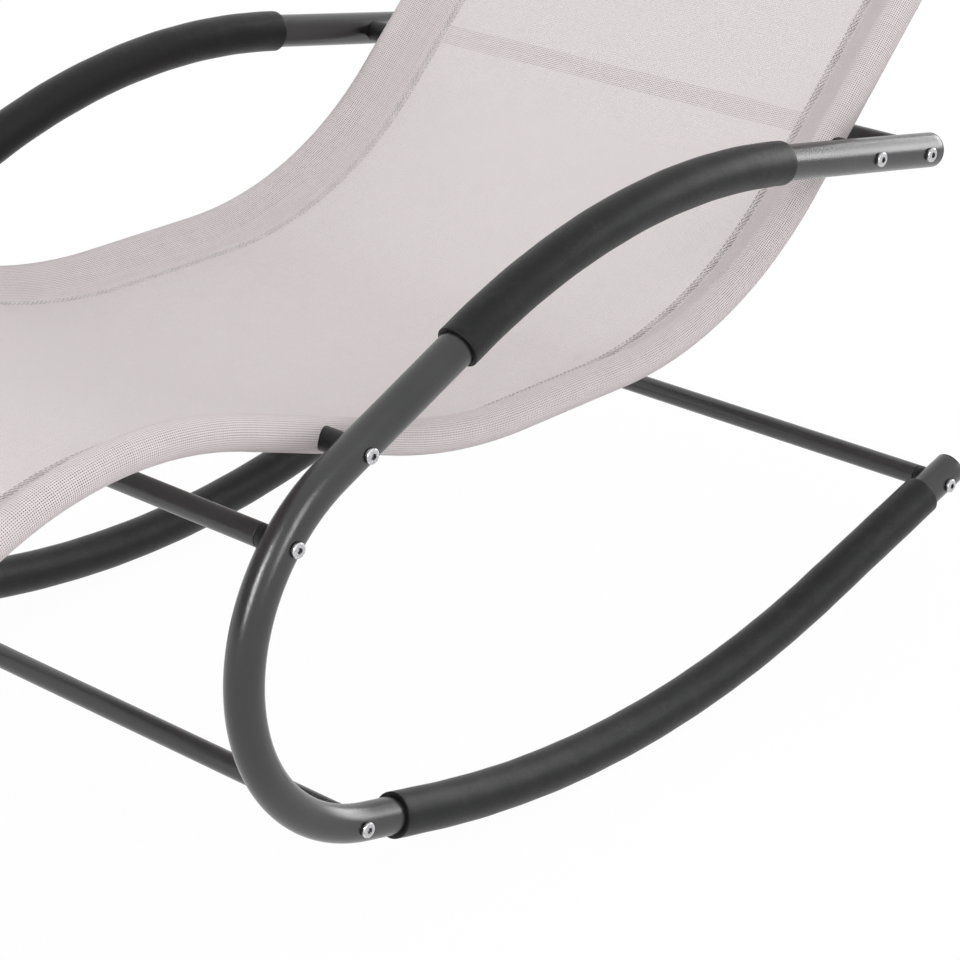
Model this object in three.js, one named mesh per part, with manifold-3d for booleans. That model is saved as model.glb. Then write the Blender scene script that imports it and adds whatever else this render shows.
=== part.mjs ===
// Rocking chaise lounge: a sling of mesh cloth on two bent rails, hung between two C-shaped
// side tubes that stand and rock on their lower arcs.
// X runs from the foot end to the head end, Y across from left to right, Z up.
// The origin is on the floor, midway between the two places where the rockers touch it.
import * as THREE from 'three';
import { mergeVertices } from 'three/addons/utils/BufferGeometryUtils.js';
import Module from 'manifold-3d';

const wasm = await Module();
wasm.setup();

// Driving dimensions, in millimetres; turns are in degrees.
// Side tubes: from the lower rear end along the rocker, round the front bend and back along the arm.
const sideSpacing = 590;
const sideTubeRadius = 15;
const sideTubeWall = 1.5;
const rockerTail = 202.5;
const rockerRadius = 970;
const rockerRearTurn = 16;
const rockerFrontTurn = 14;
const rockerLead = 72;
const frontBendRadius = 157;
const frontBendTurn = 141.7;
const frontRise = 155;
const armRadius = 635;
const armTurn = 34.5;
const armTail = 218;
const sideChordHeight = 0.45;

// Foam sleeves, pushed over the arm and over the rocker; the chair's weight presses the rocker's foam flat.
const foamWall = 3.2;
const armSleeveInset = 216.5;
const armSleeveLength = 394.5;
const rockerSleeveInset = 45.5;
const rockerSleeveLength = 706;
const pressedDepth = 0.5;

// Rails of the sling, in an upper and a lower length that plug together under the seat.
const railSpacing = 504;
const railRadius = 12.5;
const railWall = 1.2;
const seatLowPlace = -82.5;
const seatLowHeight = 320;
const seatRadius = 446;
const seatTurn = 18.5;
const seatFlatLength = 121;
const thighLength = 161.5;
const backBendRadius = 336;
const backBendTurn = 45.1;
const backLength = 616;
const kneeRadius = 326.5;
const kneeTurn = 39.9;
const legLength = 231;
const railChordHeight = 0.7;
const splicePlace = 60;
const spigotLength = 50;
const spigotRoot = 12;

// Sling: one width of cloth with a sewn pocket along each rail.
const clothThickness = 1.2;
const seamReach = 40;
const slingInset = 34;

// Cross tubes, with a threaded plug welded into each end.
const barRadius = 9.5;
const barWall = 1.2;
const barPlugLength = 14;
const rearBarDistance = 21.5;
const frontBarDistance = 795.5;
const kneeBarDistance = 1106.5;
const backBarInset = 20;
const spreaderInset = 18;

// Fittings between tubes.
const saddleLength = 5;
const spacerRadius = 9.5;
const boltRadius = 3;
const boltHeadRadius = 6.2;
const boltHeadHeight = 3.4;
const boltGrip = 9;
const socketRadius = 2.3;
const socketDepth = 1.8;
const bossRadius = 5;
const bossLength = 5;
const capDome = 2;
const capPlugLength = 10;
const clearance = 0.3;
const overrun = 25;

// Shares of a dome's radius and height where its side gives way to its top.
const headRimShare = 0.25;
const domeRadiusShare = 0.8;
const domeRiseShare = 0.85;

// Counts of flats round each kind of piece.
const tubeSides = 12;
const turnedSides = 12;
const holeSides = 8;
const boltSides = 10;
const socketSides = 6;

const degree = Math.PI / 180;
const sleeveRadius = sideTubeRadius + clearance + foamWall;
const pocketBore = railRadius + clearance;
const pocketRadius = pocketBore + clothThickness;
const holeRadius = boltRadius + clearance;
const halfSide = sideSpacing / 2;
const halfRail = railSpacing / 2;

/** The unit vector of a heading in the XZ plane. */
function along(heading) {
  return new THREE.Vector3(Math.cos(heading), 0, Math.sin(heading));
}

/** A line bent in the XZ plane, kept as the stops at the ends of its chords. */
class BentLine extends THREE.Curve {
  constructor(stops) {
    super();
    this.stops = stops;
    this.distances = [0];
    for (let i = 1; i < stops.length; i++) {
      const chord = Math.hypot(stops[i].x - stops[i - 1].x, stops[i].z - stops[i - 1].z);
      this.distances.push(this.distances[i - 1] + chord);
    }
    this.span = this.distances.at(-1);
  }

  getPoint(share, target = new THREE.Vector3()) {
    const stop = this.stops[Math.round(share * (this.stops.length - 1))];
    return target.set(stop.x, 0, stop.z);
  }

  getPointAt(share, target) {
    return this.getPoint(share, target);
  }

  /** Sections stand square to the line: their x points to its right, their y across the chair. */
  computeFrenetFrames() {
    const across = new THREE.Vector3(0, 1, 0);
    const tangents = this.stops.map(({ heading }) => along(heading));
    const normals = tangents.map((tangent) => across.clone().cross(tangent));
    const binormals = tangents.map(() => across.clone());
    return { tangents, normals, binormals };
  }

  /** The place at a distance along the chords. */
  at(distance) {
    const found = this.distances.findIndex((reached) => reached > distance);
    const next = found < 1 ? this.stops.length - 1 : found;
    const a = this.stops[next - 1];
    const b = this.stops[next];
    const share = (distance - this.distances[next - 1]) / (this.distances[next] - this.distances[next - 1]);
    return {
      x: THREE.MathUtils.lerp(a.x, b.x, share),
      z: THREE.MathUtils.lerp(a.z, b.z, share),
      heading: Math.atan2(b.z - a.z, b.x - a.x),
    };
  }

  /** The part of the line between two distances, with the same chords. */
  cut(from, to) {
    const inner = this.stops.filter((stop, i) => this.distances[i] > from && this.distances[i] < to);
    return new BentLine([this.at(from), ...inner, this.at(to)]);
  }

  /** The distances along this line and another where they cross, for the crossing nearest to x. */
  crossing(other, x) {
    let best = null;
    for (let i = 1; i < this.stops.length; i++) {
      for (let j = 1; j < other.stops.length; j++) {
        const [a, b] = [this.stops[i - 1], this.stops[i]];
        const [c, d] = [other.stops[j - 1], other.stops[j]];
        const area = (b.x - a.x) * (d.z - c.z) - (b.z - a.z) * (d.x - c.x);
        const s = ((c.x - a.x) * (d.z - c.z) - (c.z - a.z) * (d.x - c.x)) / area;
        const t = ((c.x - a.x) * (b.z - a.z) - (c.z - a.z) * (b.x - a.x)) / area;
        if (s < 0 || s > 1 || t < 0 || t > 1) continue;
        const miss = Math.abs(THREE.MathUtils.lerp(a.x, b.x, s) - x);
        if (best && best.miss < miss) continue;
        const here = THREE.MathUtils.lerp(this.distances[i - 1], this.distances[i], s);
        const there = THREE.MathUtils.lerp(other.distances[j - 1], other.distances[j], t);
        best = { miss, here, there };
      }
    }
    return best;
  }
}

/**
 * Walks legs of straights and arcs. A positive turn bends to the left, and an arc stands off
 * its chords by a height at most.
 */
function walk(x, z, heading, legs, chordHeight) {
  const stops = [{ x, z, heading }];
  for (const { straight, radius, turn } of legs) {
    const from = stops.at(-1);
    if (straight) {
      stops.push({
        x: from.x + straight * Math.cos(from.heading),
        z: from.z + straight * Math.sin(from.heading),
        heading: from.heading,
      });
      continue;
    }
    const chords = Math.ceil(Math.abs(turn * degree) / (2 * Math.acos(1 - chordHeight / radius)));
    const side = Math.sign(turn);
    const middle = {
      x: from.x - side * radius * Math.sin(from.heading),
      z: from.z + side * radius * Math.cos(from.heading),
    };
    for (let i = 1; i <= chords; i++) {
      const now = from.heading + (turn * degree * i) / chords;
      stops.push({
        x: middle.x + side * radius * Math.sin(now),
        z: middle.z - side * radius * Math.cos(now),
        heading: now,
      });
    }
  }
  return stops;
}

/** One line through a place, with legs behind it and legs ahead of it. */
function lineThrough(x, z, heading, behind, ahead, chordHeight) {
  const back = walk(x, z, heading + Math.PI, behind, chordHeight).slice(1).reverse();
  const turned = back.map((stop) => ({ ...stop, heading: stop.heading + Math.PI }));
  return new BentLine([...turned, ...walk(x, z, heading, ahead, chordHeight)]);
}

/** A polygon whose flats lie on a circle and face along the axes. */
function polygon(radius, sides) {
  const corner = radius / Math.cos(Math.PI / sides);
  return Array.from({ length: sides }, (_, i) => {
    const angle = ((i + 1 / 2) * 2 * Math.PI) / sides;
    return new THREE.Vector2(corner * Math.cos(angle), corner * Math.sin(angle));
  });
}

/** A tube along a bent line, or a bar when it has no wall. */
function tube(line, radius, wall) {
  const section = new THREE.Shape(polygon(radius, tubeSides));
  if (wall) section.holes.push(new THREE.Path(polygon(radius - wall, tubeSides)));
  return new THREE.ExtrudeGeometry(section, { extrudePath: line, steps: line.stops.length - 1 });
}

/** A closed geometry as a solid that can be joined and cut. */
function solid(geometry) {
  const bare = geometry.clone();
  bare.deleteAttribute('normal');
  bare.deleteAttribute('uv');
  const merged = mergeVertices(bare);
  const mesh = new wasm.Mesh({
    numProp: 3,
    vertProperties: merged.attributes.position.array,
    triVerts: Uint32Array.from(merged.index.array),
  });
  return new wasm.Manifold(mesh);
}

/** A solid back as a geometry. */
function surface(body) {
  const { vertProperties, triVerts } = body.getMesh();
  const geometry = new THREE.BufferGeometry();
  geometry.setAttribute('position', new THREE.BufferAttribute(vertProperties, 3));
  geometry.setIndex(new THREE.BufferAttribute(triVerts, 1));
  geometry.computeVertexNormals();
  return geometry;
}

/** A round solid across the chair, between two places along Y. */
function pin(radius, from, to, place, sides = holeSides) {
  const geometry = new THREE.CylinderGeometry(radius, radius, Math.abs(to - from), sides);
  geometry.translate(place.x, (from + to) / 2, place.z);
  return solid(geometry);
}

/** A hole for a bolt, wide enough at its flats. */
function boltHole(from, to, place) {
  return pin(holeRadius / Math.cos(Math.PI / holeSides), from, to, place);
}

/** A piece turned round Y from profile points of [radius, height]. */
function turned(profile, sides = turnedSides) {
  return new THREE.LatheGeometry(profile.map(([r, y]) => new THREE.Vector2(r, y)), sides);
}

// Centre lines
const contactHeight = sleeveRadius - pressedDepth;
const sideLine = lineThrough(0, contactHeight, Math.PI,
  [{ radius: rockerRadius, turn: rockerRearTurn }, { straight: rockerTail }],
  [
    { radius: rockerRadius, turn: -rockerFrontTurn },
    { straight: rockerLead },
    { radius: frontBendRadius, turn: -frontBendTurn },
    { straight: frontRise },
    { radius: armRadius, turn: -armTurn },
    { straight: armTail },
  ], sideChordHeight);
const railLine = lineThrough(seatLowPlace, seatLowHeight, 0,
  [
    { radius: seatRadius, turn: -seatTurn },
    { straight: thighLength },
    { radius: kneeRadius, turn: kneeTurn },
    { straight: legLength },
  ],
  [
    { straight: seatFlatLength },
    { radius: backBendRadius, turn: backBendTurn },
    { straight: backLength },
  ], railChordHeight);

// Where the cross tubes and the rails meet the side tubes
const barPlaces = {
  rear: rearBarDistance,
  front: frontBarDistance,
  knee: kneeBarDistance,
  back: sideLine.span - backBarInset,
};
const railMeetings = {
  knee: sideLine.crossing(railLine, seatLowPlace - seatRadius),
  back: sideLine.crossing(railLine, seatLowPlace + seatRadius),
};
const spreaderPlaces = { foot: spreaderInset, head: railLine.span - spreaderInset };
const seatLowStop = railLine.stops.findIndex(({ x }) => x === seatLowPlace);
const spliceDistance = railLine.distances[seatLowStop] + splicePlace;

const finishes = {
  coat: { color: 0x4b4d4f, roughness: 0.45, metalness: 0.3 },
  foam: { color: 0x2e3130, roughness: 0.9, metalness: 0 },
  plastic: { color: 0x202122, roughness: 0.6, metalness: 0 },
  zinc: { color: 0xc9cacc, roughness: 0.3, metalness: 1 },
  cloth: { color: 0xd5cdcd, roughness: 0.85, metalness: 0 },
};

const chaise = new THREE.Group();

/** Adds a named piece in a finish of its own. */
function add(group, name, geometry, finish) {
  const mesh = new THREE.Mesh(geometry, new THREE.MeshStandardMaterial(finishes[finish]));
  mesh.name = name;
  group.add(mesh);
  return mesh;
}

/** A tube's plastic end cap, a plug with a low dome; its underside sits on the tube's end. */
function capGeometry(radius, wall) {
  const plug = radius - wall - clearance;
  return turned([
    [0, -capPlugLength], [plug, -capPlugLength], [plug, clearance], [radius, clearance],
    [radius * domeRadiusShare, capDome * domeRiseShare], [0, capDome],
  ]);
}

/** Seats a cap on the end of a line: 1 is its far end, -1 its near end. */
function seatCap(mesh, line, end) {
  const stop = end > 0 ? line.stops.at(-1) : line.stops[0];
  const outward = along(stop.heading).multiplyScalar(end);
  mesh.position.set(stop.x, 0, stop.z);
  mesh.quaternion.setFromUnitVectors(new THREE.Vector3(0, 1, 0), outward);
}

/** A dome-head bolt with a socket: its head's underside is at the origin, its shank points down. */
function boltGeometry(length) {
  const body = turned([
    [0, -length], [boltRadius, -length], [boltRadius, 0], [boltHeadRadius, 0],
    [boltHeadRadius, boltHeadHeight * headRimShare],
    [boltHeadRadius * domeRadiusShare, boltHeadHeight * domeRiseShare], [0, boltHeadHeight],
  ], boltSides);
  const socket = new THREE.CylinderGeometry(socketRadius, socketRadius, 2 * socketDepth, socketSides);
  socket.translate(0, boltHeadHeight, 0);
  return surface(solid(body).subtract(solid(socket)));
}

/** Seats a bolt from outside, with its head a set distance from the middle plane of its group. */
function seatBolt(mesh, place, side, seat) {
  mesh.position.set(place.x, side * seat, place.z);
  if (side < 0) mesh.rotation.x = Math.PI;
}

/** A cross tube with a drilled and threaded plug in each end. */
function barGeometry(end, plugEnd) {
  const bore = barRadius - barWall;
  return turned([
    [holeRadius, -end], [barRadius, -end], [barRadius, end], [holeRadius, end],
    [holeRadius, plugEnd], [bore, plugEnd], [bore, -plugEnd], [holeRadius, -plugEnd], [holeRadius, -end],
  ]);
}

// Side tubes, drilled through for six bolts each
const sidePlaces = [...Object.values(barPlaces), ...Object.values(railMeetings).map(({ here }) => here)];
let sideTube = solid(tube(sideLine, sideTubeRadius, sideTubeWall));
for (const distance of sidePlaces) {
  sideTube = sideTube.subtract(boltHole(-overrun, overrun, sideLine.at(distance)));
}
const sideTubeSurface = surface(sideTube);

// Foam sleeves; the rocker's has a flat pressed into it where it stands
const armSleeveEnd = sideLine.span - armSleeveInset;
const armSleeve = tube(sideLine.cut(armSleeveEnd - armSleeveLength, armSleeveEnd), sleeveRadius, foamWall);
const rockerSleeveLine = sideLine.cut(rockerSleeveInset, rockerSleeveInset + rockerSleeveLength);
const floor = new THREE.BoxGeometry(2 * rockerRadius, 2 * sideTubeRadius, overrun);
floor.translate(0, 0, -overrun / 2);
const rockerSleeve = surface(solid(tube(rockerSleeveLine, sleeveRadius, foamWall)).subtract(solid(floor)));

// Bolts of the three lengths, and the caps of the two tube sizes
const barEnd = halfSide - sideTubeRadius - saddleLength;
const boltSeat = sideTubeRadius + clearance;
const barBolt = boltGeometry(halfSide + boltSeat - barEnd + boltGrip);
const railBolt = boltGeometry(halfSide + boltSeat - halfRail - railRadius + railWall + bossLength);
const spreaderSeat = railRadius + clearance;
const spreaderBolt = boltGeometry(2 * spreaderSeat + boltGrip);
const sideCap = capGeometry(sideTubeRadius, sideTubeWall);
const railCap = capGeometry(railRadius, railWall);

for (const [name, side] of [['left', -1], ['right', 1]]) {
  const sideGroup = new THREE.Group();
  sideGroup.position.y = side * halfSide;
  chaise.add(sideGroup);
  add(sideGroup, `side_tube_${name}`, sideTubeSurface, 'coat');
  add(sideGroup, `arm_sleeve_${name}`, armSleeve, 'foam');
  add(sideGroup, `rocker_sleeve_${name}`, rockerSleeve, 'foam');
  seatCap(add(sideGroup, `arm_cap_${name}`, sideCap, 'plastic'), sideLine, 1);
  seatCap(add(sideGroup, `rocker_cap_${name}`, sideCap, 'plastic'), sideLine, -1);

  // Plastic saddles, hollowed to the side tube, carry the cross tubes
  for (const [where, distance] of Object.entries(barPlaces)) {
    const place = sideLine.at(distance);
    const near = sideLine.cut(distance - barRadius - clearance, distance + barRadius + clearance);
    const seat = solid(tube(near, sideTubeRadius + clearance));
    const face = sideTubeRadius + saddleLength - clearance;
    const blank = pin(barRadius, 0, -side * face, place, turnedSides);
    const saddle = blank.subtract(seat).subtract(boltHole(0, -side * (face + clearance), place));
    add(sideGroup, `saddle_${where}_${name}`, surface(saddle), 'plastic');
    seatBolt(add(sideGroup, `bolt_${where}_${name}`, barBolt, 'zinc'), place, side, boltSeat);
  }

  // Plastic spacers, hollowed at both ends, hold the rails off the side tubes
  const railOffset = halfRail - halfSide;
  for (const [where, { here, there }] of Object.entries(railMeetings)) {
    const place = sideLine.at(here);
    const outer = solid(tube(sideLine.cut(here - overrun, here + overrun), sideTubeRadius + clearance));
    const pocket = tube(railLine.cut(there - overrun, there + overrun), pocketRadius + clearance);
    pocket.translate(0, side * railOffset, 0);
    const blank = pin(spacerRadius, 0, side * railOffset, place, turnedSides);
    const drilled = blank.subtract(boltHole(0, side * railOffset, place));
    const spacer = drilled.subtract(outer).subtract(solid(pocket));
    add(sideGroup, `rail_spacer_${where}_${name}`, surface(spacer), 'plastic');
    seatBolt(add(sideGroup, `rail_bolt_${where}_${name}`, railBolt, 'zinc'), place, side, boltSeat);
  }

  // Rails: the upper one has a reduced spigot that slides into the lower one
  const railGroup = new THREE.Group();
  railGroup.position.y = side * halfRail;
  chaise.add(railGroup);
  const spigotRadius = railRadius - railWall - clearance;
  const spigotLine = railLine.cut(spliceDistance - spigotLength, spliceDistance + spigotRoot);
  const shoulderLine = railLine.cut(spliceDistance, spliceDistance + railWall);
  const lower = solid(tube(railLine.cut(0, spliceDistance - clearance), railRadius, railWall));
  const upper = solid(tube(railLine.cut(spliceDistance, railLine.span), railRadius, railWall))
    .add(solid(tube(shoulderLine, railRadius - railWall / 2, railWall + clearance)))
    .add(solid(tube(spigotLine, spigotRadius, railWall)));
  const rails = { lower, upper };
  const railOf = { knee: 'lower', back: 'upper', foot: 'lower', head: 'upper' };
  for (const [where, { there }] of Object.entries(railMeetings)) {
    const place = railLine.at(there);
    const wall = railRadius - railWall / 2;
    const boss = pin(bossRadius, side * (wall - bossLength), side * wall, place);
    const drill = boltHole(side * (wall - bossLength - clearance), side * (railRadius + overrun), place);
    rails[railOf[where]] = rails[railOf[where]].add(boss).subtract(drill);
  }
  for (const [where, distance] of Object.entries(spreaderPlaces)) {
    const place = railLine.at(distance);
    rails[railOf[where]] = rails[railOf[where]].subtract(boltHole(-overrun, overrun, place));
    const bolt = add(railGroup, `spreader_bolt_${where}_${name}`, spreaderBolt, 'zinc');
    seatBolt(bolt, place, side, spreaderSeat);
  }
  add(railGroup, `rail_lower_${name}`, surface(rails.lower), 'coat');
  add(railGroup, `rail_upper_${name}`, surface(rails.upper), 'coat');
  seatCap(add(railGroup, `rail_cap_foot_${name}`, railCap, 'plastic'), railLine, -1);
  seatCap(add(railGroup, `rail_cap_head_${name}`, railCap, 'plastic'), railLine, 1);
}

// Cross tubes between the side tubes
for (const [where, distance] of Object.entries(barPlaces)) {
  const { x, z } = sideLine.at(distance);
  const bar = add(chaise, `${where}_crossbar`, barGeometry(barEnd, barEnd - barPlugLength), 'coat');
  bar.position.set(x, 0, z);
}

// Spreaders between the rails, beyond the two ends of the sling, hollowed to fit round the rails
for (const [where, distance] of Object.entries(spreaderPlaces)) {
  const { x, z, heading } = railLine.at(distance);
  const reach = along(heading).multiplyScalar(overrun);
  const plugEnd = halfRail - railRadius - clearance - barPlugLength;
  let bar = solid(barGeometry(halfRail, plugEnd));
  for (const side of [-1, 1]) {
    const seat = new THREE.ExtrudeGeometry(new THREE.Shape(polygon(railRadius + clearance, tubeSides)), {
      extrudePath: new BentLine([
        { x: -reach.x, z: -reach.z, heading },
        { x: reach.x, z: reach.z, heading },
      ]),
      steps: 1,
    });
    seat.translate(0, side * halfRail, 0);
    bar = bar.subtract(solid(seat));
  }
  add(chaise, `${where}_spreader`, surface(bar), 'coat').position.set(x, 0, z);
}

/** The corners of a pocket's ring that a seam draws together, from below the rail round its outer side. */
function pocketCorners(radius, side) {
  const ring = polygon(radius, tubeSides);
  const kept = [...ring.slice(-1), ...ring.slice(0, tubeSides / 2 + 1)];
  return kept.map(({ x, y }) => new THREE.Vector2(x, side * (halfRail + y)));
}

// Sling: a flat width of cloth whose edges are folded round the rails and sewn
const seamPlace = halfRail - seamReach;
const slingSection = new THREE.Shape([
  new THREE.Vector2(clothThickness / 2, seamPlace),
  ...pocketCorners(pocketRadius, 1),
  new THREE.Vector2(-clothThickness / 2, seamPlace),
  new THREE.Vector2(-clothThickness / 2, -seamPlace),
  ...pocketCorners(pocketRadius, -1).reverse(),
  new THREE.Vector2(clothThickness / 2, -seamPlace),
]);
for (const side of [-1, 1]) {
  const apex = new THREE.Vector2(0, side * (seamPlace + clothThickness * 2));
  slingSection.holes.push(new THREE.Path([...pocketCorners(pocketBore, side), apex]));
}
const slingLine = railLine.cut(slingInset, railLine.span - slingInset);
let sling = solid(new THREE.ExtrudeGeometry(slingSection, {
  extrudePath: slingLine,
  steps: slingLine.stops.length - 1,
}));
for (const side of [-1, 1]) {
  for (const { there } of Object.values(railMeetings)) {
    const place = railLine.at(there);
    sling = sling.subtract(boltHole(side * (halfRail + railRadius / 2), side * (halfRail + overrun), place));
  }
}
add(chaise, 'sling', surface(sling), 'cloth');

export default chaise;
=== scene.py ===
"""A rocking chaise lounge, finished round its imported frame. Lengths are in metres."""

import bmesh
import bpy
import numpy as np
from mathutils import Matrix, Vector


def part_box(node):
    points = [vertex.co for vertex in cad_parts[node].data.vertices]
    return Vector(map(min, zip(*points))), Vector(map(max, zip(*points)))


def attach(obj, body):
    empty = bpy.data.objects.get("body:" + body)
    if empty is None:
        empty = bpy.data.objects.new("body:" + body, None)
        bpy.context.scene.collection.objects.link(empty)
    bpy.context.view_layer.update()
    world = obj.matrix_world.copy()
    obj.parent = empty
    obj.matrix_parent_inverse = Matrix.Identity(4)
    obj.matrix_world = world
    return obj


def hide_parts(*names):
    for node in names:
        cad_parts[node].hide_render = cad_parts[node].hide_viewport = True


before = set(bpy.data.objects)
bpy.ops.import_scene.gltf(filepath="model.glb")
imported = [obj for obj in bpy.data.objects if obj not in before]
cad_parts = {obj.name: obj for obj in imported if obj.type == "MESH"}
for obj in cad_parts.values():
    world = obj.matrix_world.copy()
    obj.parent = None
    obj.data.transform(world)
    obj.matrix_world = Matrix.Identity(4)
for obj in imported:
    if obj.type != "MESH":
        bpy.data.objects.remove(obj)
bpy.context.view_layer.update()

# Side tubes. Each is one length of 30 mm steel tube bent in one plane: from its rear end down
# along the rocker, round the front and back along the arm. Both rest on the floor at x = 0,
# where the pressed foam lifts the tube's centre to side_height.
side_gap = 0.590
side_radius = 0.015
side_wall = 0.0015
rear_straight = 0.2025
rocker_radius = 0.970
contact_turn = 16
# straights (length, 0) and arcs (radius, turn in degrees), from the rocker's rear end to the arm's
side_legs = [
    (rear_straight, 0), (rocker_radius, -30), (0.072, 0), (0.157, -141.7),
    (0.155, 0), (0.635, -34.5), (0.218, 0),
]
side_contact = rear_straight + rocker_radius * np.radians(contact_turn)
side_height = 0.018
tube_rim = 0.0004
tube_step = 0.006
tube_sides = 48
coat_grey = (0.0065, 0.0068, 0.007, 1)
coat_light = (0.0125, 0.0128, 0.013, 1)


def bent_line(legs, distance, x, z, heading):
    """The way along straights (length, 0) and arcs (radius, turn in degrees) in the XZ plane.

    It passes (x, z) in the given heading at the given distance. Places are x + iz: a stretch that
    turns by an angle moves its length times sin(half)/half, in the heading of its middle.
    """
    size, turn = np.array(legs, float).T
    turn = np.radians(turn)
    length = np.where(turn == 0, size, size * np.abs(turn))
    reached = np.append(0, np.cumsum(length))
    headings = np.append(0, np.cumsum(turn))
    headings += heading - np.interp(distance, reached, headings)
    moves = length * np.sinc(turn / 2 / np.pi) * np.exp(1j * (headings[:-1] + turn / 2))
    corners = np.append(0, np.cumsum(moves))

    def place(s):
        leg = np.clip(np.searchsorted(reached, s, "right") - 1, 0, len(length) - 1)
        gone = s - reached[leg]
        half = turn[leg] * gone / length[leg] / 2
        spot = corners[leg] + gone * np.sinc(half / np.pi) * np.exp(1j * (headings[leg] + half))
        return spot, headings[leg] + 2 * half

    corners += x + 1j * z - place(distance)[0]
    return place, reached[-1]


def pipe_profile(start, end, outer, inner, edge, step):
    """Distances and radii round a pipe's wall: over one rim, along, over the other, back inside.

    Each rim is a quarter of a circle with the radius edge."""
    quarter = np.linspace(0, np.pi / 2, 5)
    rim = edge * (1 - np.cos(quarter))
    run = np.linspace(start + edge, end - edge, int((end - start) / step) + 2)[1:-1]
    back = run[::-2]
    distances = np.concatenate([start + rim, run, (end - rim)[::-1], [end], back, [start]])
    edges = outer - edge * (1 - np.sin(quarter))
    outside = [edges, np.full(len(run), outer), edges[::-1]]
    radii = np.concatenate([*outside, np.full(len(back) + 2, inner)])
    return distances, radii


def swept(place, distances, radii, y, sides=tube_sides):
    """Rings square to a line, at each distance: centre + radius (cos a right + sin a across)."""
    spot, heading = place(distances)
    level = np.zeros_like(heading)
    centre = np.stack([spot.real, level + y, spot.imag], -1)[:, None]
    right = np.stack([np.sin(heading), level, -np.cos(heading)], -1)[:, None]
    angle = np.arange(sides) * 2 * np.pi / sides
    across = np.sin(angle)[:, None] * np.array([0, 1, 0])
    size = radii[:, None] if radii.ndim == 1 else radii
    return centre + size[..., None] * (np.cos(angle)[:, None] * right + across)


def joined(name, grid, ring=True, loop=True, **marks):
    """A mesh of quads on rows of points; ring closes each row, loop joins the last to the first.

    Points in one place are merged, and a shell whose faces point inwards is turned about. Marks
    are named numbers, one for each point, that a finish can read."""
    rows, columns = grid.shape[:2]
    row = np.arange(rows if loop else rows - 1)[:, None]
    column = np.arange(columns if ring else columns - 1)
    next_row, next_column = (row + 1) % rows, (column + 1) % columns
    corners = [row * columns + column, row * columns + next_column]
    corners += [next_row * columns + next_column, next_row * columns + column]
    quads = np.stack(np.broadcast_arrays(*corners), -1).reshape(-1, 4)
    mesh = bpy.data.meshes.new(name)
    mesh.from_pydata(grid.reshape(-1, 3).tolist(), [], quads.tolist())
    for mark, numbers in marks.items():
        spread = np.broadcast_to(numbers, (rows, columns)).ravel()
        mesh.attributes.new(mark, "FLOAT", "POINT").data.foreach_set("value", spread)
    if ring:
        work = bmesh.new()
        work.from_mesh(mesh)
        bmesh.ops.remove_doubles(work, verts=work.verts, dist=1e-6)
        bmesh.ops.dissolve_degenerate(work, edges=work.edges, dist=1e-7)
        if work.calc_volume(signed=True) < 0:
            bmesh.ops.reverse_faces(work, faces=work.faces)
        work.to_mesh(mesh)
        work.free()
    mesh.shade_smooth()
    mesh.set_sharp_from_angle(angle=np.radians(45))
    piece = bpy.data.objects.new(name, mesh)
    bpy.context.scene.collection.objects.link(piece)
    return piece


def fitted(piece, finish, slot, *nodes):
    """Gives a piece its finish and the frame to ride on, and hides the solids that it stands for."""
    piece.data.materials.append(finish)
    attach(piece, "root")
    if nodes:
        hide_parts(*nodes)
    return piece


class Wire:
    """An output in a material. Sums of wires add Math nodes, and node() adds any other node."""

    def __init__(self, tree, socket=None):
        self.tree = tree
        self.socket = socket

    def node(self, kind, settings, sockets, output=0):
        made = self.tree.nodes.new(kind)
        for key, value in settings.items():
            setattr(made, key, value)
        for key, value in sockets.items():
            if isinstance(value, Wire):
                self.tree.links.new(value.socket, made.inputs[key])
            else:
                made.inputs[key].default_value = value
        return Wire(self.tree, made.outputs[output])

    def math(self, operation, *values):
        return self.node("ShaderNodeMath", {"operation": operation}, dict(enumerate(values)))

    def __add__(self, other):
        return self.math("ADD", self, other)

    def __mul__(self, other):
        return self.math("MULTIPLY", self, other)

    def __sub__(self, other):
        return self.math("SUBTRACT", self, other)

    def __rsub__(self, other):
        return self.math("SUBTRACT", other, self)

    __radd__ = __add__
    __rmul__ = __mul__

    def noise(self, where, scale, detail=2.0, roughness=0.5):
        sockets = {"Vector": where, "Scale": scale, "Detail": detail, "Roughness": roughness}
        return self.node("ShaderNodeTexNoise", {}, sockets)

    def between(self, low, high, to_low=0.0, to_high=1.0):
        """Eases a value from one range into another, and holds it there."""
        sockets = {"Value": self, 1: low, 2: high, 3: to_low, 4: to_high}
        return self.node("ShaderNodeMapRange", {"interpolation_type": "SMOOTHSTEP"}, sockets)

    def blend(self, first, second):
        """A mix of two colours by this share; the node's colours are sockets 6, 7 and output 2."""
        return self.node("ShaderNodeMix", {"data_type": "RGBA"}, {0: self, 6: first, 7: second}, 2)

    def mark(self, name):
        return self.node("ShaderNodeAttribute", {"attribute_name": name}, {}, "Fac")

    def bump(self, strength, distance):
        sockets = {"Height": self, "Strength": strength, "Distance": distance}
        return self.node("ShaderNodeBump", {}, sockets)


def new_finish(name, constants, coordinates="Object"):
    """A material with its Principled shader, and the wire of its coordinates."""
    material = bpy.data.materials.new(name)
    material.use_nodes = True
    shader = material.node_tree.nodes["Principled BSDF"]
    for socket, value in constants.items():
        shader.inputs[socket].default_value = value
    start = Wire(material.node_tree)
    where = start.node("ShaderNodeTexCoord", {}, {}, coordinates)
    return material, where


def finish_with(material, **wires):
    """Links wires to the shader; an underscore stands for a space in a socket's name."""
    shader = material.node_tree.nodes["Principled BSDF"]
    for socket, wire in wires.items():
        material.node_tree.links.new(wire.socket, shader.inputs[socket.replace("_", " ")])


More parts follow.
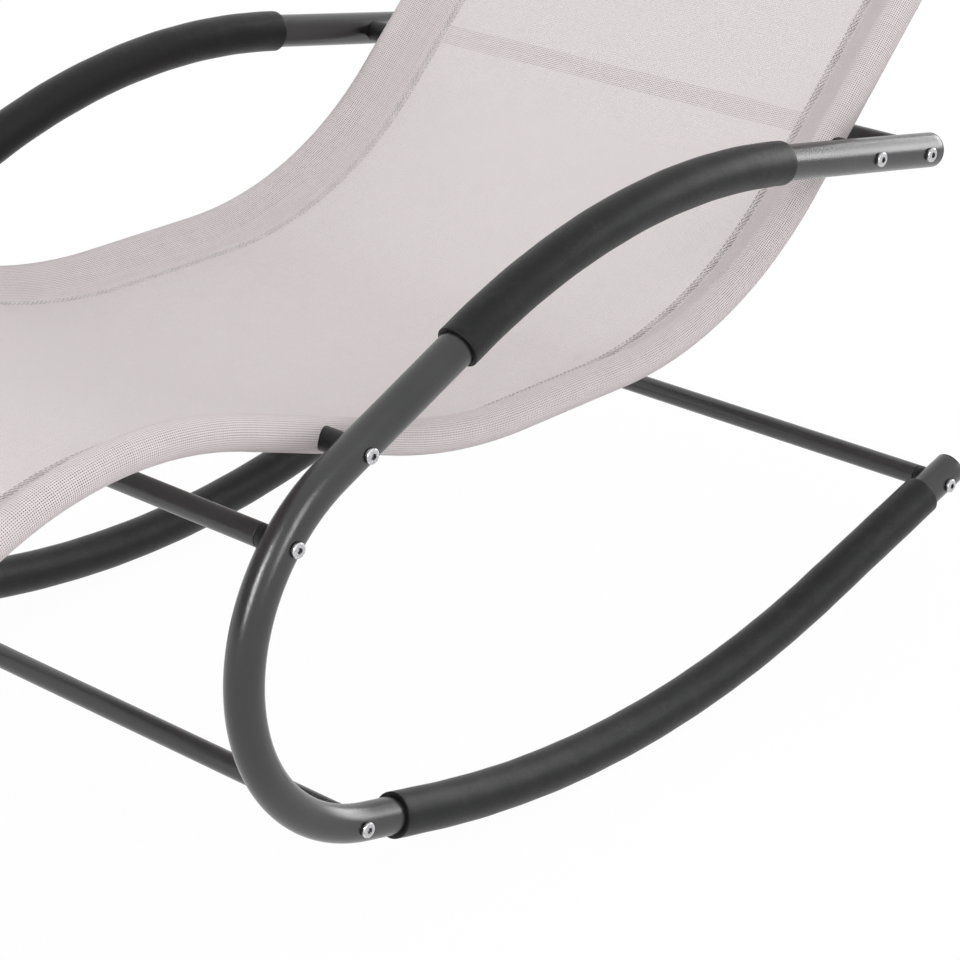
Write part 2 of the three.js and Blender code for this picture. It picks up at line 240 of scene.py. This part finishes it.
coat, where = new_finish("grey_powder_coat", {"Specular IOR Level": 0.8})
grain = where.noise(where, 850, 3, 0.6)
peel = where.noise(where, 260, 2, 0.5)
cloud = where.noise(where, 18, 3, 0.55)
finish_with(
    coat,
    Base_Color=(cloud * 0.6 + grain * 0.4).between(0.35, 0.65).blend(coat_grey, coat_light),
    Roughness=cloud.between(0.3, 0.7, 0.17, 0.22) + grain * 0.08,
    Normal=(grain * 0.75 + peel * 0.25).bump(0.8, 0.0002),
)

side_line, side_length = bent_line(side_legs, side_contact, 0, side_height, np.pi)
side_bore = side_radius - side_wall
side_profile = pipe_profile(0, side_length, side_radius, side_bore, tube_rim, tube_step)
for side, sign in (("left", -1), ("right", 1)):
    tube = joined(f"tube_{side}", swept(side_line, *side_profile, sign * side_gap / 2))
    fitted(tube, coat, "coat", f"side_tube_{side}")

# Foam sleeves. Black closed-cell foam tube, pushed over the arm and over the rocker and cut off
# square. It is scuffed and a little uneven, and the chair's weight presses the rocker's flat.
sleeve_bore = 0.0153
sleeve_radius = 0.0185
sleeve_spans = {"arm": (side_length - 0.611, side_length - 0.2165), "rocker": (0.0455, 0.7515)}
sleeve_edge = 0.0007
sleeve_step = 0.004
end_shade_depth = 0.0035
swell_height = 0.00007
swell_below = 1.9
# painted shade for the sleeves' cut ends: the end face and the gap round the tube
foam_end_shade = (0.003, 0.003, 0.003, 1)
foam_black = (0.0022, 0.0024, 0.0024, 1)
foam_scuffed = (0.022, 0.0225, 0.0225, 1)

foam, where = new_finish("black_foam", {"Specular IOR Level": 0.26})
pores = where.noise(where, 1900, 3, 0.6)
dents = where.noise(where, 75, 4, 0.6)
rubbed = where.noise(where, 48, 6, 0.7)
scuffs = rubbed.between(0.54, 0.76)
pale = scuffs * 0.7 + pores.between(0.4, 0.75) * 0.35
finish_with(
    foam,
    Base_Color=where.mark("cut_edge").blend(pale.blend(foam_black, foam_scuffed), foam_end_shade),
    Roughness=scuffs.between(0, 1, 0.32, 0.46) + pores * 0.08,
    Normal=(pores * 0.35 + dents * 0.65).bump(0.8, 0.0009),
)

for side, sign in (("left", -1), ("right", 1)):
    for place_name, (start, end) in sleeve_spans.items():
        distances, radii = pipe_profile(
            start, end, sleeve_radius, sleeve_bore, sleeve_edge, sleeve_step
        )
        angle = np.arange(tube_sides) * 2 * np.pi / tube_sides
        along = distances[:, None]
        # waves along and round the sleeve make it uneven, nearly all of it inside sleeve_radius
        swell = np.sin(61 * along + sign) * np.cos(2 * angle + 9 * along)
        swell = swell + np.sin(143 * along - angle)
        outside = (radii > sleeve_bore)[:, None]
        uneven = radii[:, None] + outside * swell_height * (swell - swell_below)
        grid = swept(side_line, distances, uneven, sign * side_gap / 2)
        grid[..., 2] = np.maximum(grid[..., 2], 0)
        # a band at each cut end takes a flat darker colour: painted shade of the end face and of the
        # gap round the tube
        cut_edge = np.exp(-((np.minimum(along - start, end - along) / end_shade_depth) ** 4))
        sleeve = joined(f"{place_name}_foam_{side}", grid, cut_edge=cut_edge)
        fitted(sleeve, foam, "foam", f"{place_name}_sleeve_{side}")

# End caps of the side tubes. Black moulded plastic plugs with a low dome, driven into the arm's
# rear end and into the rocker's, so that only the dome shows.
cap_heights = np.array([-10, -10, 0.3, 0.3, 0.7, 1.2, 1.6, 1.9, 2.0]) / 1000
cap_shares = np.array([0, 0.88, 0.88, 1, 1, 0.965, 0.85, 0.55, 0])
plastic_black = (0.005, 0.005, 0.0055, 1)
plastic_worn = (0.010, 0.010, 0.0105, 1)


def turned(origin, axis, heights, radii):
    """A profile turned round an axis: origin + height x axis + radius (cos a first + sin a second).

    For an axis across the chair, angle a is that of the offset in the XZ plane. Heights and
    radii may vary round the ring."""
    axis = np.array(axis, float)
    crosswise = abs(axis[1]) > 0.5
    first = np.array([1.0, 0, 0]) if crosswise else np.array([0, 1.0, 0])
    second = np.array([0, 0, 1.0]) if crosswise else np.cross(axis, first)
    angle = np.arange(tube_sides) * 2 * np.pi / tube_sides
    heights = heights[:, None] if heights.ndim == 1 else heights
    radii = radii[:, None] if radii.ndim == 1 else radii
    spokes = np.cos(angle)[:, None] * first + np.sin(angle)[:, None] * second
    return np.array(origin) + heights[..., None] * axis + radii[..., None] * spokes


plastic, where = new_finish("black_plastic", {"Specular IOR Level": 0.25})
moulding = where.noise(where, 900, 3, 0.6)
wear = where.noise(where, 60, 3, 0.5)
finish_with(
    plastic,
    Base_Color=wear.between(0.4, 0.7).blend(plastic_black, plastic_worn),
    Roughness=moulding.between(0.3, 0.7, 0.38, 0.5),
    Normal=moulding.bump(0.25, 0.0002),
)


def end_cap(name, node, line, distance, outward, y, radius):
    """A domed cap on the end of a tube's line."""
    spot, heading = line(np.array([distance]))
    axis = outward * np.array([np.cos(heading[0]), 0, np.sin(heading[0])])
    origin = (spot[0].real, y, spot[0].imag)
    cap = joined(name, turned(origin, axis, cap_heights, cap_shares * radius))
    fitted(cap, plastic, "plastic", node)


for side, sign in (("left", -1), ("right", 1)):
    y = sign * side_gap / 2
    end_cap(f"arm_plug_{side}", f"arm_cap_{side}", side_line, side_length, 1, y, side_radius)
    end_cap(f"rocker_plug_{side}", f"rocker_cap_{side}", side_line, 0, -1, y, side_radius)

# Crossbars and saddles. Four 19 mm tubes hold the side tubes apart. A black plastic saddle
# between each bar's end and the side tube is hollowed to the tube and drilled for the bolt.
bar_radius = 0.0095
bar_wall = 0.0012
bar_end = 0.275
bar_step = 0.02
saddle_face = 0.2753
saddle_edge = 0.0005
fit_gap = 0.0002
hole_radius = 0.0033
bar_names = ("rear", "front", "knee", "back")


def cope(radius, heading, seat_radius):
    """How far a tube's wall stands off its line, over each point of a ring on that line:
    the root of seat radius squared - (radius x sin(a - heading)) squared."""
    angle = np.arange(tube_sides) * 2 * np.pi / tube_sides
    return np.sqrt(seat_radius**2 - (radius * np.sin(angle - heading)) ** 2)


def heading_near(line, length, x, z):
    """The line's heading at the place nearest to (x, z), of 4000 along it."""
    spots, headings = line(np.linspace(0, length, 4000))
    return headings[np.abs(spots - (x + 1j * z)).argmin()]


def centre_of(node):
    """The middle of a solid's box, as x and z."""
    low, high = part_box(node)
    return (low.x + high.x) / 2, (low.z + high.z) / 2


bar_bore = bar_radius - bar_wall
bar_profile = pipe_profile(-bar_end, bar_end, bar_radius, bar_bore, tube_rim, bar_step)
saddle_radii = np.array(
    [hole_radius, bar_radius - saddle_edge, bar_radius, bar_radius, hole_radius]
)
face = np.full(tube_sides, saddle_face)
tube_seat = side_radius + fit_gap
for bar_name in bar_names:
    x, z = centre_of(f"{bar_name}_crossbar")
    heading = heading_near(side_line, side_length, x, z)
    bar = joined(f"{bar_name}_bar", turned((x, 0, z), (0, 1, 0), *bar_profile))
    fitted(bar, coat, "coat", f"{bar_name}_crossbar")
    seats = [side_gap / 2 - cope(r, heading, tube_seat) for r in (bar_radius, hole_radius)]
    heights = np.stack([face, face, face + saddle_edge, *seats])
    for side, sign in (("left", -1), ("right", 1)):
        grid = turned((x, 0, z), (0, sign, 0), heights, saddle_radii)
        saddle = joined(f"{bar_name}_seat_{side}", grid)
        fitted(saddle, plastic, "plastic", f"saddle_{bar_name}_{side}")

# Rails. 25 mm tube, bent to the sitter: legs down, knees up, seat and back. Each is a lower and
# an upper length, plugged together under the seat and capped at both ends.
rail_gap = 0.504
rail_radius = 0.0125
rail_wall = 0.0012
rail_sides = 32
rail_step = 0.008
rail_rim = 0.0003
leg_straight = 0.231
knee_radius = 0.3265
knee_turn = 39.9
thigh_straight = 0.1615
seat_bend_radius = 0.446
seat_bend_turn = 18.5
# straights and arcs from the foot end: leg, knee, thigh, seat bend, seat, back bend, back
rail_legs = [
    (leg_straight, 0), (knee_radius, -knee_turn), (thigh_straight, 0),
    (seat_bend_radius, seat_bend_turn), (0.121, 0), (0.336, 45.1), (0.616, 0),
]
rail_low = leg_straight + knee_radius * np.radians(knee_turn) + thigh_straight
rail_low += seat_bend_radius * np.radians(seat_bend_turn)
rail_low_x = -0.0825
rail_low_z = 0.320
rail_splice = rail_low + 0.060
splice_gap = 0.0003
rail_bore = rail_radius - rail_wall
rail_line, rail_length = bent_line(rail_legs, rail_low, rail_low_x, rail_low_z, 0)

for side, sign in (("left", -1), ("right", 1)):
    y = sign * rail_gap / 2
    spans = {"lower": (0, rail_splice - splice_gap), "upper": (rail_splice, rail_length)}
    for span_name, (start, end) in spans.items():
        profile = pipe_profile(start, end, rail_radius, rail_bore, rail_rim, rail_step)
        rail = joined(f"{span_name}_rail_{side}", swept(rail_line, *profile, y, rail_sides))
        fitted(rail, coat, "coat", f"rail_{span_name}_{side}")
    end_cap(f"foot_plug_{side}", f"rail_cap_foot_{side}", rail_line, 0, -1, y, rail_radius)
    end_cap(f"head_plug_{side}", f"rail_cap_head_{side}", rail_line, rail_length, 1, y, rail_radius)

# Spacers. Black plastic barrels between the side tubes and the rails, at the knee and at the
# back, hollowed at one end to the side tube and at the other to the sling's pocket.
pocket_outside = 0.0140
barrel_radii = np.array([hole_radius, bar_radius, bar_radius, hole_radius])
for side, sign in (("left", -1), ("right", 1)):
    for meeting in ("knee", "back"):
        x, z = centre_of(f"rail_spacer_{meeting}_{side}")
        outer = heading_near(side_line, side_length, x, z)
        inner = heading_near(rail_line, rail_length, x, z)
        rows = []
        for r in (hole_radius, bar_radius):
            rows.append(rail_gap / 2 + cope(r, inner, pocket_outside + fit_gap))
        for r in (bar_radius, hole_radius):
            rows.append(side_gap / 2 - cope(r, outer, tube_seat))
        grid = turned((x, 0, z), (0, sign, 0), np.stack(rows), barrel_radii)
        barrel = joined(f"{meeting}_barrel_{side}", grid)
        fitted(barrel, plastic, "plastic", f"rail_spacer_{meeting}_{side}")

# Spreaders. Two more 19 mm tubes keep the rails apart just beyond the ends of the sling, their
# ends hollowed to fit round the rails.
walls = (bar_radius, bar_bore)
shares = np.linspace(-1, 1, 25)[:, None]
spreader_radii = np.repeat(walls, len(shares))
for end_name in ("foot", "head"):
    x, z = centre_of(f"{end_name}_spreader")
    heading = heading_near(rail_line, rail_length, x, z)
    reach = [rail_gap / 2 - cope(wall, heading, rail_radius + fit_gap) for wall in walls]
    heights = np.concatenate([shares * reach[0], -shares * reach[1]])
    spreader = joined(f"{end_name}_tie", turned((x, 0, z), (0, 1, 0), heights, spreader_radii))
    fitted(spreader, coat, "coat", f"{end_name}_spreader")

# Bolts. Bright zinc-plated dome heads with a hexagon socket, each 12.4 mm across: six on the
# outside of each side tube and one through each end of a rail.
head_radius = 0.0062
head_height = 0.0034
head_wall = 0.0019
head_crown = 0.0002
head_gap = 0.0001
crown_share = 0.78
socket_taper = 0.97
socket_radius = 0.0023
socket_depth = 0.0019
shank_radius = 0.003
zinc_bright = (0.82, 0.82, 0.83, 1)
zinc_dull = (0.42, 0.42, 0.44, 1)
# painted shade in the bolt's socket and at the foot of its wall
zinc_shaded = (0.08, 0.08, 0.085, 1)

zinc, where = new_finish("zinc_plate", {"Metallic": 1.0})
plating = where.noise(where, 900, 3, 0.6)
scratches = where.noise(where, 2600, 2, 0.5)
plated = plating.between(0.42, 0.62).blend(zinc_bright, zinc_dull)
finish_with(
    zinc,
    Base_Color=where.mark("recess").blend(plated, zinc_shaded),
    Roughness=plating.between(0.3, 0.7, 0.16, 0.36),
    Normal=(plating * 0.6 + scratches * 0.4).bump(0.3, 0.0001),
)


def bolt(name, node, x, z, sign, seat):
    """A bolt from outside in: socket floor, hexagon, nearly flat crown, round rim, wall, shank.

    The crown sinks with the square of the radius, and the rim is a quarter of an ellipse.
    Painted shade darkens the socket's corner and the foot of the wall, through a mark highest there."""
    angle = np.arange(tube_sides) * 2 * np.pi / tube_sides
    hexagon = socket_radius / np.cos((angle + np.pi / 6) % (np.pi / 3) - np.pi / 6)
    circle = np.ones(tube_sides)
    crown = np.array([0.48, 0.6, 0.7])
    quarter = np.linspace(0, np.pi / 2, 7)
    rim = crown_share + (1 - crown_share) * np.sin(quarter)
    rim_top = head_height - head_crown
    crown_heights = head_height - head_crown * (crown / crown_share) ** 2
    rim_heights = head_wall + (rim_top - head_wall) * np.cos(quarter)
    floor = head_height - socket_depth
    tip = min(abs(corner.y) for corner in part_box(node)) - seat
    radii = [0 * circle, hexagon * socket_taper, hexagon]
    radii += [share * head_radius * circle for share in (*crown, *rim)]
    radii += [head_radius * circle, shank_radius * circle, shank_radius * circle, 0 * circle]
    heights = np.array(
        [floor, floor, crown_heights[0], *crown_heights, *rim_heights, 0, 0, tip, tip]
    )
    # painted shade on each ring, from the middle of the socket's floor: its corner, its brim, the
    # crown, the wall's top and foot
    ring_number = np.arange(len(heights))
    recess = np.interp(ring_number, [0, 1, 2, 11, 12, 13], [0.25, 1, 0.3, 0.0, 0.5, 1])
    grid = turned((x, sign * seat, z), (0, sign, 0), heights, np.stack(radii))
    fitted(joined(name, grid, loop=False, recess=recess[:, None]), zinc, "zinc", node)


seat_on_tube = side_gap / 2 + side_radius + head_gap
seat_on_rail = rail_gap / 2 + rail_radius + head_gap
for side, sign in (("left", -1), ("right", 1)):
    for place_name in bar_names:
        node = f"bolt_{place_name}_{side}"
        bolt(f"{place_name}_screw_{side}", node, *centre_of(node), sign, seat_on_tube)
    for place_name in ("knee", "back"):
        node = f"rail_bolt_{place_name}_{side}"
        bolt(f"{place_name}_rail_screw_{side}", node, *centre_of(node), sign, seat_on_tube)
    for place_name in ("foot", "head"):
        node = f"spreader_bolt_{place_name}_{side}"
        bolt(f"{place_name}_screw_{side}", node, *centre_of(node), sign, seat_on_rail)

# Sling. One width of woven mesh of plastic-coated yarn, pale pinkish grey. Each long edge is
# folded round its rail and sewn back to itself, which leaves a pocket shaped like a teardrop;
# both ends are turned under and sewn.
pocket_radius = 0.0138
pocket_depth = 0.037
seam_place = rail_gap / 2 - pocket_depth
seam_drop = 0.009
field_sag = 0.004
seam_allowance = 0.008
layer_gap = 0.0007
allowance_gap = 0.0017
end_inset = 0.034
end_fold = 0.018
fold_rows = 3
row_step = 0.007
easing_reach = 0.080
cloth_thickness = 0.00028
pucker_depth = 0.00025
pucker_pitch = 0.031
pucker_reach = 0.008
pocket_shade_margin = 0.001
pocket_shade_blur = 0.003
yarn_pitch = 0.0018
# the weave's colours: painted light on the yarns' crowns and painted shade in their dips
yarn_light = (0.75, 0.70, 0.70, 1)
yarn_shade = (0.44, 0.385, 0.39, 1)
# darker colours for the pockets: painted shade where the cloth lies double over the dark rail
shaded_pocket_light = (0.72, 0.66, 0.67, 1)
shaded_pocket_dark = (0.38, 0.32, 0.33, 1)


def field_height(across):
    """How the cloth hangs below the rails: seam_drop at the seams, a parabola more between."""
    return -seam_drop - field_sag * np.clip(1 - (across / seam_place) ** 2, 0, None)


def sling_section():
    """The section as across + i up, from under the right seam, round the rail and over to the left.

    A pocket is a circle round the rail and the two tangents to it from the seam."""
    to_seam = -pocket_depth - 1j * seam_drop
    spread = np.arccos(pocket_radius / abs(to_seam))
    facing = np.angle(to_seam)
    round_rail = np.linspace(facing + spread, facing - spread + 2 * np.pi, 38)
    hoop = rail_gap / 2 + pocket_radius * np.exp(1j * round_rail)
    fold = seam_place - 1j * (seam_drop + allowance_gap)
    seam = seam_place - 1j * seam_drop
    share = np.linspace(0, 1, 8)[1:-1]
    allowance = fold - np.array([seam_allowance, seam_allowance / 2, 0])
    across = np.linspace(seam_place, 0, 26)
    field = across + 1j * field_height(across)
    slopes = [fold + share * (hoop[0] - fold), hoop[-1] + share * (seam - hoop[-1])]
    half = np.concatenate([allowance, slopes[0], hoop, slopes[1], field])
    return np.concatenate([half, -half[-2::-1].conj()])


def laid(distances, section):
    """Places on the sling: the rail's place + height x upward, at all distances and points.

    In the middle of the field the cloth cuts the rail's bends a little: there it follows the
    mean of the line over easing_reach each way."""
    spot, heading = rail_line(distances)
    shifts = np.linspace(-easing_reach, easing_reach, 9)
    mean = np.mean([rail_line(distances + shift)[0] for shift in shifts], axis=0)
    eased = np.clip(1 - (section.real / seam_place) ** 2, 0, None)
    place = spot[:, None] + eased * (mean - spot)[:, None]
    place = place + 1j * np.exp(1j * heading)[:, None] * section.imag
    return np.stack(np.broadcast_arrays(place.real, section.real, place.imag), -1)


section = sling_section()
cloth_across = np.append(0, np.cumsum(np.abs(np.diff(section))))
sense = np.gradient(section)
inward = 1j * sense / np.abs(sense)

body = np.linspace(end_inset, rail_length - end_inset, int(rail_length / row_step))
turned_under = np.linspace(end_fold, 0, fold_rows + 1)[:-1]
rows_at = np.concatenate([body[0] + turned_under, body, (body[-1] - turned_under)[::-1]])
under = np.ones(len(rows_at))
under[fold_rows:-fold_rows] = 0
cloth_along = np.append(0, np.cumsum(np.maximum(np.abs(np.diff(rows_at)), layer_gap)))

# shallow puckers beside the seams, whose spacing wanders along the rail
from_seam = np.abs(np.abs(section.real) - seam_place)
phase = rows_at[:, None] * 2 * np.pi / pucker_pitch + 2 * np.sin(rows_at[:, None] * 23)
ripple = np.sin(phase + np.sign(section.real))
pucker = 1j * pucker_depth * np.exp(-from_seam / pucker_reach) * ripple
grid = laid(rows_at, section + layer_gap * under[:, None] * inward + pucker)
# the pocket mark: where the cloth takes its painted shade
pocket = np.clip((np.abs(section.real) - seam_place + pocket_shade_margin) / pocket_shade_blur, 0, 1)
sling = joined("mesh_sling", grid, ring=False, loop=False, pocket=pocket)
uv = sling.data.uv_layers.new(name="cloth")
corner = np.zeros(len(sling.data.loops), int)
sling.data.loops.foreach_get("vertex_index", corner)
flat_place = np.stack(np.broadcast_arrays(cloth_across, cloth_along[:, None]), -1).reshape(-1, 2)
uv.data.foreach_set("uv", flat_place[corner].ravel())
thickness = sling.modifiers.new("thickness", "SOLIDIFY")
thickness.thickness = cloth_thickness
thickness.offset = 0

cloth, where = new_finish("woven_mesh", {"Roughness": 0.8, "Specular IOR Level": 0.05}, "UV")
wave = {}
for axis in ("X", "Y"):
    across_yarns = where.node("ShaderNodeSeparateXYZ", {}, {"Vector": where}, axis)
    wave[axis] = where.math("SINE", across_yarns * (np.pi / yarn_pitch))
warp, weft = (wave[axis].math("ABSOLUTE", wave[axis]) for axis in ("X", "Y"))
over = wave["X"] * wave["Y"]
relief = over.math("MAXIMUM", warp * (over * 0.5 + 0.5), weft * (0.5 - over * 0.5))
uneven = []
for stretch in ((700, 30, 0), (30, 700, 0)):
    sockets = {0: where, 1: stretch}
    along_yarn = where.node("ShaderNodeVectorMath", {"operation": "MULTIPLY"}, sockets)
    uneven.append(where.noise(along_yarn, 1.0, 1))
speckle = where.noise(where, 420, 2, 0.6)
streaks = uneven[0] + uneven[1]
cover = (warp + weft + streaks * 0.2 - 0.2).between(0.64, 0.88)
# lighter on the crowns of the yarns and darker where they dip: painted light and shade, mixed with
# random streaks and speckle in the yarn's own tone
weave_shading_and_tone = relief * 0.9 + streaks * 0.16 + speckle * 0.25 - 0.085
shown = weave_shading_and_tone.between(0.05, 1.0)
open_cloth = shown.blend(yarn_shade, yarn_light)
# in the pockets the weave takes painted shade
shaded_pocket_cloth = shown.blend(shaded_pocket_dark, shaded_pocket_light)
finish_with(
    cloth,
    Base_Color=where.mark("pocket").blend(open_cloth, shaded_pocket_cloth),
    Alpha=cover,
    Normal=relief.bump(0.6, 0.0003),
)
fitted(sling, cloth, "cloth", "sling")

# Seams. A row of long slanting stitches in grey thread holds each pocket, like the lay of a
# rope, with a finer straight row on its inner side. One straight row holds each end fold.
stitch_pitch = 0.0048
stitch_length = 0.0092
stitch_tilt = 33
thread_radius = 0.0006
seam_inset = 0.0030
fine_length = 0.0034
fine_inset = 0.0068
stitch_lift = 0.0002
hem_margin = 0.004
thread_grey = (0.50, 0.465, 0.465, 1)
thread_pale = (0.68, 0.64, 0.64, 1)

thread, where = new_finish("grey_thread", {"Roughness": 0.6})
twist = where.noise(where, 1500, 2, 0.5)
finish_with(
    thread,
    Base_Color=twist.blend(thread_grey, thread_pale),
    Normal=twist.bump(0.4, 0.0002),
)


def stitches(name, middles, along, upward, tilt, length):
    """Short arched threads: rings of points along t from -1 to 1, copied to all places at once.

    The thread stands 0.8 of its radius up in the middle and dips 0.4 of it at both ends, where
    it thins out. middles, along and upward are arrays of places and directions; tilt turns each
    stitch, and it and the length may differ from one to the next."""
    rings, sides = 6, 5
    tilt, length = (np.broadcast_to(number, len(middles))[:, None] for number in (tilt, length))
    aside = np.cross(upward, along)
    run = np.cos(tilt) * along + np.sin(tilt) * aside
    side_way = np.cross(upward, run)
    t = np.linspace(-1, 1, rings)
    arch = thread_radius * (1.2 * (1 - t**4) - 0.4)
    thick = thread_radius * np.sqrt(1.02 - t**6)
    angle = (np.arange(sides) * 2 * np.pi / sides)[:, None]
    line = middles[:, None] + t[None, :, None] * (length * run / 2)[:, None]
    line = line + arch[None, :, None] * upward[:, None]
    ring = np.cos(angle) * upward[:, None, None] + np.sin(angle) * side_way[:, None, None]
    points = line[:, :, None] + thick[None, :, None, None] * ring
    first = (np.arange(len(middles)) * rings * sides)[:, None, None]
    row, column = np.arange(rings - 1)[:, None] * sides, np.arange(sides)
    beside = (column + 1) % sides
    corners = [row + column, row + beside, row + sides + beside, row + sides + column]
    quads = (first[..., None] + np.stack(corners, -1)).reshape(-1, 4)
    lids = np.array([column[::-1], row[-1] + sides + column])
    ends = (first + lids).reshape(-1, sides)
    mesh = bpy.data.meshes.new(name)
    mesh.from_pydata(points.reshape(-1, 3).tolist(), [], quads.tolist() + ends.tolist())
    mesh.shade_smooth()
    piece = bpy.data.objects.new(name, mesh)
    bpy.context.scene.collection.objects.link(piece)
    work = bmesh.new()
    work.from_mesh(mesh)
    bmesh.ops.recalc_face_normals(work, faces=work.faces)
    work.to_mesh(mesh)
    work.free()
    return fitted(piece, thread, "cloth")


def sewn(distances, across):
    """Where stitches lie on the field: their places, the way along the rail and the way up."""
    point = across + 1j * (field_height(across) + stitch_lift)
    distances, point = np.broadcast_arrays(distances, point)
    grid = laid(distances, point)
    each = np.arange(len(distances))
    middles = grid[each, each]
    heading = rail_line(distances)[1]
    level = np.zeros_like(heading)
    ahead = np.stack([np.cos(heading), level, np.sin(heading)], -1)
    upward = np.stack([-np.sin(heading), level, np.cos(heading)], -1)
    return middles, ahead, upward


seam_start = end_inset + hem_margin
distances = np.arange(seam_start, rail_length - end_inset - hem_margin, stitch_pitch)
lengths = np.repeat([stitch_length, fine_length], len(distances))
for side, sign in (("left", -1), ("right", 1)):
    lines = [np.array([sign * (seam_place - inset)]) for inset in (seam_inset, fine_inset)]
    rows = [sewn(distances, line) for line in lines]
    middles, ahead, upward = (np.concatenate(part) for part in zip(*rows))
    tilts = np.repeat([sign * np.radians(stitch_tilt), 0], len(distances))
    stitches(f"seam_{side}", middles, ahead, upward, tilts, lengths)
hem_place = end_inset + end_fold - hem_margin
hem_reach = seam_place - seam_allowance
across = np.arange(-hem_reach, hem_reach, stitch_pitch)
for end_name, distance in (("foot", hem_place), ("head", rail_length - hem_place)):
    middles, ahead, upward = sewn(np.full(len(across), distance), across)
    across_way = np.broadcast_to(np.array([0.0, 1.0, 0.0]), middles.shape)
    stitches(f"{end_name}_hem_seam", middles, across_way, upward, 0, fine_length)

# Room. A plain white floor under an even white sky, with one broad soft lamp overhead and a
# tall strip to the right of the camera. A strip to the left and a wide box behind the head end
# show only as highlights, and the overhead lamp shows in none.
floor_reach = 14.0
floor_white = (0.93, 0.93, 0.93, 1)
floor_glow = 0.97
sky_strength = 0.74
overhead_strength = 1.06
overhead_spread = 125
overhead_from = (-0.12, 0.14, 0.98)
lamps_aim_at = (0, 0, 0.4)

ground = bpy.data.meshes.new("studio_floor")
corners = floor_reach * np.array([(-1, -1, 0), (1, -1, 0), (1, 1, 0), (-1, 1, 0)])
ground.from_pydata(corners.tolist(), [], [(0, 1, 2, 3)])
floor = bpy.data.objects.new("studio_floor", ground)
bpy.context.scene.collection.objects.link(floor)


def seen_directly(tree):
    """1 for rays from the camera, a mirror or glass, and 0 for light that reaches other things."""
    start = Wire(tree)
    seen = start.node("ShaderNodeLightPath", {}, {}, "Is Camera Ray")
    for ray in ("Is Glossy Ray", "Is Transmission Ray"):
        seen = seen.math("MAXIMUM", seen, start.node("ShaderNodeLightPath", {}, {}, ray))
    return seen


paper, where = new_finish("white_paper", {"Base Color": floor_white, "Specular IOR Level": 0.1})
finish_with(paper, Roughness=where.noise(where, 40).between(0, 1, 0.85, 0.95))
tree = paper.node_tree
lit = Wire(tree, tree.nodes["Principled BSDF"].outputs[0])
glow = where.node("ShaderNodeEmission", {}, {"Color": (1, 1, 1, 1), "Strength": 1.0})
sockets = {0: seen_directly(tree) * floor_glow, 1: lit, 2: glow}
surface = where.node("ShaderNodeMixShader", {}, sockets)
tree.links.new(surface.socket, tree.nodes["Material Output"].inputs["Surface"])
ground.materials.append(paper)

sky = bpy.data.worlds.new("white_sky")
sky.use_nodes = True
bpy.context.scene.world = sky
backdrop = sky.node_tree.nodes["Background"]
backdrop.inputs["Color"].default_value = (1, 1, 1, 1)
strength = seen_directly(sky.node_tree) * (1 - sky_strength) + sky_strength
sky.node_tree.links.new(strength.socket, backdrop.inputs["Strength"])

overhead = bpy.data.lights.new("overhead_lamp", "SUN")
overhead.energy = overhead_strength
overhead.angle = np.radians(overhead_spread)
placed = bpy.data.objects.new("overhead_lamp", overhead)
placed.rotation_euler = Vector(overhead_from).to_track_quat("Z", "Y").to_euler()
placed.visible_glossy = False
bpy.context.scene.collection.objects.link(placed)

# each lamp's azimuth from +X, elevation, distance, width, height and brightness
boxes = {
    "left_strip": (187, 25, 4.0, 0.34, 2.0, 30.0),
    "right_strip": (249, 30, 5.0, 0.26, 2.8, 22.0),
    "back_box": (-12, 12, 5.0, 4.6, 1.6, 4.8),
}
for name, (azimuth, elevation, distance, width, height, brightness) in boxes.items():
    lamp = bpy.data.lights.new(name, "AREA")
    lamp.shape = "RECTANGLE"
    lamp.size = width
    lamp.size_y = height
    lamp.energy = brightness * np.pi * width * height
    placed = bpy.data.objects.new(name, lamp)
    level, rise = np.radians(azimuth), np.radians(elevation)
    towards = Vector((np.cos(level) * np.cos(rise), np.sin(level) * np.cos(rise), np.sin(rise)))
    placed.location = Vector(lamps_aim_at) + distance * towards
    placed.rotation_euler = towards.to_track_quat("Z", "Y").to_euler()
    placed.visible_camera = False
    placed.visible_diffuse = name == "right_strip"
    bpy.context.scene.collection.objects.link(placed)

# Camera. It stands at the left of the foot end, looks down at the middle of the seat and takes
# in the left side tube whole.
camera = bpy.data.cameras.new("camera")
camera.sensor_width = 36
camera.lens = 117.75
camera.clip_end = 60
eye = bpy.data.objects.new("camera", camera)
eye.location = (-1.7771, -1.7635, 1.2545)
eye.rotation_euler = Vector((0.6756, 0.6191, -0.4004)).to_track_quat("-Z", "Y").to_euler()
bpy.context.scene.collection.objects.link(eye)
bpy.context.scene.camera = eye
bpy.context.scene.view_settings.view_transform = "Standard"
